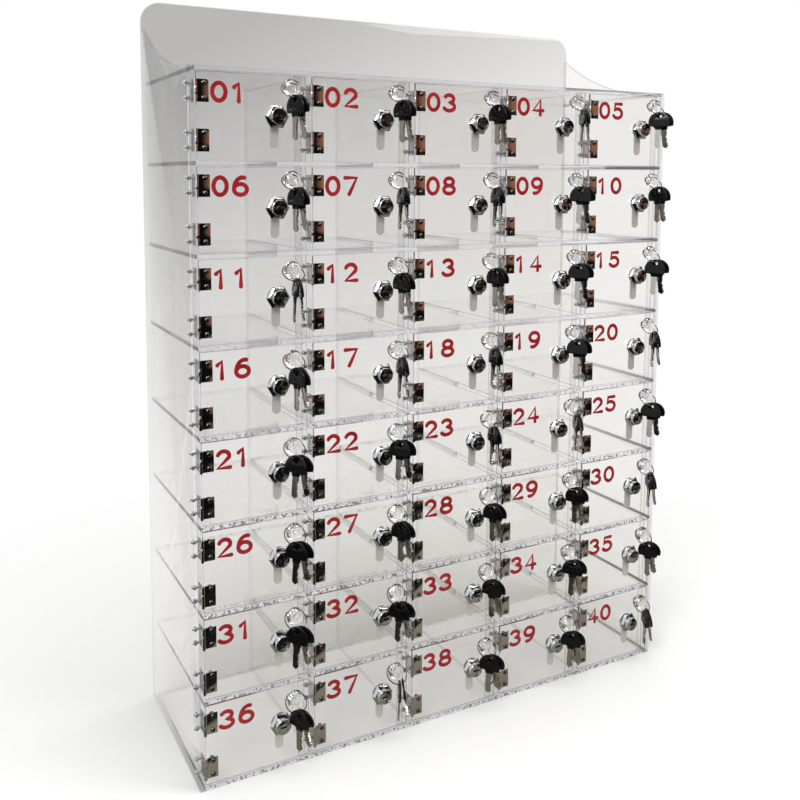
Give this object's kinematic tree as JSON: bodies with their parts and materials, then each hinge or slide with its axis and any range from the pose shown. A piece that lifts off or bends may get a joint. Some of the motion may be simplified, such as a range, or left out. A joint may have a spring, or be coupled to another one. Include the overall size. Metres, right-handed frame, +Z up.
{
  "type": "cell phone locker box",
  "caption": "Clear acrylic cabinet of small lockers in a grid, each with a hinged door, cam lock, knob and keys, under a raised header.",
  "frame": {"origin": "middle of the footprint at floor level", "axes": "+Z up, the doors face -Y, +X to the right seen from the front"},
  "size_m": [0.6692, 0.2574, 0.905],
  "materials": {
    "acrylic_sheet": "clear polished acrylic sheet",
    "acrylic_door": "clear polished acrylic sheet",
    "polished_steel": "polished stainless steel",
    "chrome_plate": "bright chrome plating"
  },
  "bodies": {
    "case": {"back_panel": "acrylic_sheet", "left_side_panel": "acrylic_sheet", "right_side_panel": "acrylic_sheet", "top_panel": "acrylic_sheet", "bottom_panel": "acrylic_sheet", "shelves": "acrylic_sheet", "dividers": "acrylic_sheet", "stop_strips": "acrylic_sheet", "frame_hinge_leaves": "polished_steel", "hinge_pins": "polished_steel", "frame_hinge_screws": "chrome_plate", "frame_hinge_nuts": "chrome_plate"},
    "door_01": {"door_01": "acrylic_door"},
    "door_02": {"door_02": "acrylic_door"},
    "door_03": {"door_03": "acrylic_door"},
    "door_04": {"door_04": "acrylic_door"},
    "door_05": {"door_05": "acrylic_door"},
    "door_06": {"door_06": "acrylic_door"},
    "door_07": {"door_07": "acrylic_door"},
    "door_08": {"door_08": "acrylic_door"},
    "door_09": {"door_09": "acrylic_door"},
    "door_10": {"door_10": "acrylic_door"},
    "door_11": {"door_11": "acrylic_door"},
    "door_12": {"door_12": "acrylic_door"},
    "door_13": {"door_13": "acrylic_door"},
    "door_14": {"door_14": "acrylic_door"},
    "door_15": {"door_15": "acrylic_door"},
    "door_16": {"door_16": "acrylic_door"},
    "door_17": {"door_17": "acrylic_door"},
    "door_18": {"door_18": "acrylic_door"},
    "door_19": {"door_19": "acrylic_door"},
    "door_20": {"door_20": "acrylic_door"},
    "door_21": {"door_21": "acrylic_door"},
    "door_22": {"door_22": "acrylic_door"},
    "door_23": {"door_23": "acrylic_door"},
    "door_24": {"door_24": "acrylic_door"},
    "door_25": {"door_25": "acrylic_door"},
    "door_26": {"door_26": "acrylic_door"},
    "door_27": {"door_27": "acrylic_door"},
    "door_28": {"door_28": "acrylic_door"},
    "door_29": {"door_29": "acrylic_door"},
    "door_30": {"door_30": "acrylic_door"},
    "door_31": {"door_31": "acrylic_door"},
    "door_32": {"door_32": "acrylic_door"},
    "door_33": {"door_33": "acrylic_door"},
    "door_34": {"door_34": "acrylic_door"},
    "door_35": {"door_35": "acrylic_door"},
    "door_36": {"door_36": "acrylic_door"},
    "door_37": {"door_37": "acrylic_door"},
    "door_38": {"door_38": "acrylic_door"},
    "door_39": {"door_39": "acrylic_door"},
    "door_40": {"door_40": "acrylic_door"},
    "lock_01": {"lock_plug_01": "chrome_plate"},
    "lock_06": {"lock_plug_06": "chrome_plate"},
    "lock_11": {"lock_plug_11": "chrome_plate"},
    "lock_16": {"lock_plug_16": "chrome_plate"},
    "lock_21": {"lock_plug_21": "chrome_plate"},
    "lock_26": {"lock_plug_26": "chrome_plate"},
    "lock_31": {"lock_plug_31": "chrome_plate"},
    "lock_36": {"lock_plug_36": "chrome_plate"}
  },
  "joints": [
    {"name": "door_01_swing", "type": "hinge", "parent": "case", "child": "door_01", "pos_m": [-0.3271, -0.113, 0.7525], "axis": [0, 0, -1], "range_deg": [0, 105]},
    {"name": "door_02_swing", "type": "hinge", "parent": "case", "child": "door_02", "pos_m": [-0.1951, -0.113, 0.7525], "axis": [0, 0, -1], "range_deg": [0, 105]},
    {"name": "door_03_swing", "type": "hinge", "parent": "case", "child": "door_03", "pos_m": [-0.0631, -0.113, 0.7525], "axis": [0, 0, -1], "range_deg": [0, 105]},
    {"name": "door_04_swing", "type": "hinge", "parent": "case", "child": "door_04", "pos_m": [0.0689, -0.113, 0.7525], "axis": [0, 0, -1], "range_deg": [0, 105]},
    {"name": "door_05_swing", "type": "hinge", "parent": "case", "child": "door_05", "pos_m": [0.2009, -0.113, 0.7525], "axis": [0, 0, -1], "range_deg": [0, 105]},
    {"name": "door_06_swing", "type": "hinge", "parent": "case", "child": "door_06", "pos_m": [-0.3271, -0.113, 0.6525], "axis": [0, 0, -1], "range_deg": [0, 105]},
    {"name": "door_07_swing", "type": "hinge", "parent": "case", "child": "door_07", "pos_m": [-0.1951, -0.113, 0.6525], "axis": [0, 0, -1], "range_deg": [0, 105]},
    {"name": "door_08_swing", "type": "hinge", "parent": "case", "child": "door_08", "pos_m": [-0.0631, -0.113, 0.6525], "axis": [0, 0, -1], "range_deg": [0, 105]},
    {"name": "door_09_swing", "type": "hinge", "parent": "case", "child": "door_09", "pos_m": [0.0689, -0.113, 0.6525], "axis": [0, 0, -1], "range_deg": [0, 105]},
    {"name": "door_10_swing", "type": "hinge", "parent": "case", "child": "door_10", "pos_m": [0.2009, -0.113, 0.6525], "axis": [0, 0, -1], "range_deg": [0, 105]},
    {"name": "door_11_swing", "type": "hinge", "parent": "case", "child": "door_11", "pos_m": [-0.3271, -0.113, 0.5525], "axis": [0, 0, -1], "range_deg": [0, 105]},
    {"name": "door_12_swing", "type": "hinge", "parent": "case", "child": "door_12", "pos_m": [-0.1951, -0.113, 0.5525], "axis": [0, 0, -1], "range_deg": [0, 105]},
    {"name": "door_13_swing", "type": "hinge", "parent": "case", "child": "door_13", "pos_m": [-0.0631, -0.113, 0.5525], "axis": [0, 0, -1], "range_deg": [0, 105]},
    {"name": "door_14_swing", "type": "hinge", "parent": "case", "child": "door_14", "pos_m": [0.0689, -0.113, 0.5525], "axis": [0, 0, -1], "range_deg": [0, 105]},
    {"name": "door_15_swing", "type": "hinge", "parent": "case", "child": "door_15", "pos_m": [0.2009, -0.113, 0.5525], "axis": [0, 0, -1], "range_deg": [0, 105]},
    {"name": "door_16_swing", "type": "hinge", "parent": "case", "child": "door_16", "pos_m": [-0.3271, -0.113, 0.4525], "axis": [0, 0, -1], "range_deg": [0, 105]},
    {"name": "door_17_swing", "type": "hinge", "parent": "case", "child": "door_17", "pos_m": [-0.1951, -0.113, 0.4525], "axis": [0, 0, -1], "range_deg": [0, 105]},
    {"name": "door_18_swing", "type": "hinge", "parent": "case", "child": "door_18", "pos_m": [-0.0631, -0.113, 0.4525], "axis": [0, 0, -1], "range_deg": [0, 105]},
    {"name": "door_19_swing", "type": "hinge", "parent": "case", "child": "door_19", "pos_m": [0.0689, -0.113, 0.4525], "axis": [0, 0, -1], "range_deg": [0, 105]},
    {"name": "door_20_swing", "type": "hinge", "parent": "case", "child": "door_20", "pos_m": [0.2009, -0.113, 0.4525], "axis": [0, 0, -1], "range_deg": [0, 105]},
    {"name": "door_21_swing", "type": "hinge", "parent": "case", "child": "door_21", "pos_m": [-0.3271, -0.113, 0.3525], "axis": [0, 0, -1], "range_deg": [0, 105]},
    {"name": "door_22_swing", "type": "hinge", "parent": "case", "child": "door_22", "pos_m": [-0.1951, -0.113, 0.3525], "axis": [0, 0, -1], "range_deg": [0, 105]},
    {"name": "door_23_swing", "type": "hinge", "parent": "case", "child": "door_23", "pos_m": [-0.0631, -0.113, 0.3525], "axis": [0, 0, -1], "range_deg": [0, 105]},
    {"name": "door_24_swing", "type": "hinge", "parent": "case", "child": "door_24", "pos_m": [0.0689, -0.113, 0.3525], "axis": [0, 0, -1], "range_deg": [0, 105]},
    {"name": "door_25_swing", "type": "hinge", "parent": "case", "child": "door_25", "pos_m": [0.2009, -0.113, 0.3525], "axis": [0, 0, -1], "range_deg": [0, 105]},
    {"name": "door_26_swing", "type": "hinge", "parent": "case", "child": "door_26", "pos_m": [-0.3271, -0.113, 0.2525], "axis": [0, 0, -1], "range_deg": [0, 105]},
    {"name": "door_27_swing", "type": "hinge", "parent": "case", "child": "door_27", "pos_m": [-0.1951, -0.113, 0.2525], "axis": [0, 0, -1], "range_deg": [0, 105]},
    {"name": "door_28_swing", "type": "hinge", "parent": "case", "child": "door_28", "pos_m": [-0.0631, -0.113, 0.2525], "axis": [0, 0, -1], "range_deg": [0, 105]},
    {"name": "door_29_swing", "type": "hinge", "parent": "case", "child": "door_29", "pos_m": [0.0689, -0.113, 0.2525], "axis": [0, 0, -1], "range_deg": [0, 105]},
    {"name": "door_30_swing", "type": "hinge", "parent": "case", "child": "door_30", "pos_m": [0.2009, -0.113, 0.2525], "axis": [0, 0, -1], "range_deg": [0, 105]},
    {"name": "door_31_swing", "type": "hinge", "parent": "case", "child": "door_31", "pos_m": [-0.3271, -0.113, 0.1525], "axis": [0, 0, -1], "range_deg": [0, 105]},
    {"name": "door_32_swing", "type": "hinge", "parent": "case", "child": "door_32", "pos_m": [-0.1951, -0.113, 0.1525], "axis": [0, 0, -1], "range_deg": [0, 105]},
    {"name": "door_33_swing", "type": "hinge", "parent": "case", "child": "door_33", "pos_m": [-0.0631, -0.113, 0.1525], "axis": [0, 0, -1], "range_deg": [0, 105]},
    {"name": "door_34_swing", "type": "hinge", "parent": "case", "child": "door_34", "pos_m": [0.0689, -0.113, 0.1525], "axis": [0, 0, -1], "range_deg": [0, 105]},
    {"name": "door_35_swing", "type": "hinge", "parent": "case", "child": "door_35", "pos_m": [0.2009, -0.113, 0.1525], "axis": [0, 0, -1], "range_deg": [0, 105]},
    {"name": "door_36_swing", "type": "hinge", "parent": "case", "child": "door_36", "pos_m": [-0.3271, -0.113, 0.0525], "axis": [0, 0, -1], "range_deg": [0, 105]},
    {"name": "door_37_swing", "type": "hinge", "parent": "case", "child": "door_37", "pos_m": [-0.1951, -0.113, 0.0525], "axis": [0, 0, -1], "range_deg": [0, 105]},
    {"name": "door_38_swing", "type": "hinge", "parent": "case", "child": "door_38", "pos_m": [-0.0631, -0.113, 0.0525], "axis": [0, 0, -1], "range_deg": [0, 105]},
    {"name": "door_39_swing", "type": "hinge", "parent": "case", "child": "door_39", "pos_m": [0.0689, -0.113, 0.0525], "axis": [0, 0, -1], "range_deg": [0, 105]},
    {"name": "door_40_swing", "type": "hinge", "parent": "case", "child": "door_40", "pos_m": [0.2009, -0.113, 0.0525], "axis": [0, 0, -1], "range_deg": [0, 105]},
    {"name": "lock_01_turn", "type": "hinge", "parent": "door_01", "child": "lock_01", "pos_m": [-0.2365, -0.111, 0.754], "axis": [0, -1, 0], "range_deg": [0, 90]},
    {"name": "lock_06_turn", "type": "hinge", "parent": "door_06", "child": "lock_06", "pos_m": [-0.2365, -0.111, 0.654], "axis": [0, -1, 0], "range_deg": [0, 90]},
    {"name": "lock_11_turn", "type": "hinge", "parent": "door_11", "child": "lock_11", "pos_m": [-0.2365, -0.111, 0.554], "axis": [0, -1, 0], "range_deg": [0, 90]},
    {"name": "lock_16_turn", "type": "hinge", "parent": "door_16", "child": "lock_16", "pos_m": [-0.2365, -0.111, 0.454], "axis": [0, -1, 0], "range_deg": [0, 90]},
    {"name": "lock_21_turn", "type": "hinge", "parent": "door_21", "child": "lock_21", "pos_m": [-0.2365, -0.111, 0.354], "axis": [0, -1, 0], "range_deg": [0, 90]},
    {"name": "lock_26_turn", "type": "hinge", "parent": "door_26", "child": "lock_26", "pos_m": [-0.2365, -0.111, 0.254], "axis": [0, -1, 0], "range_deg": [0, 90]},
    {"name": "lock_31_turn", "type": "hinge", "parent": "door_31", "child": "lock_31", "pos_m": [-0.2365, -0.111, 0.154], "axis": [0, -1, 0], "range_deg": [0, 90]},
    {"name": "lock_36_turn", "type": "hinge", "parent": "door_36", "child": "lock_36", "pos_m": [-0.2365, -0.111, 0.054], "axis": [0, -1, 0], "range_deg": [0, 90]}
  ]
}
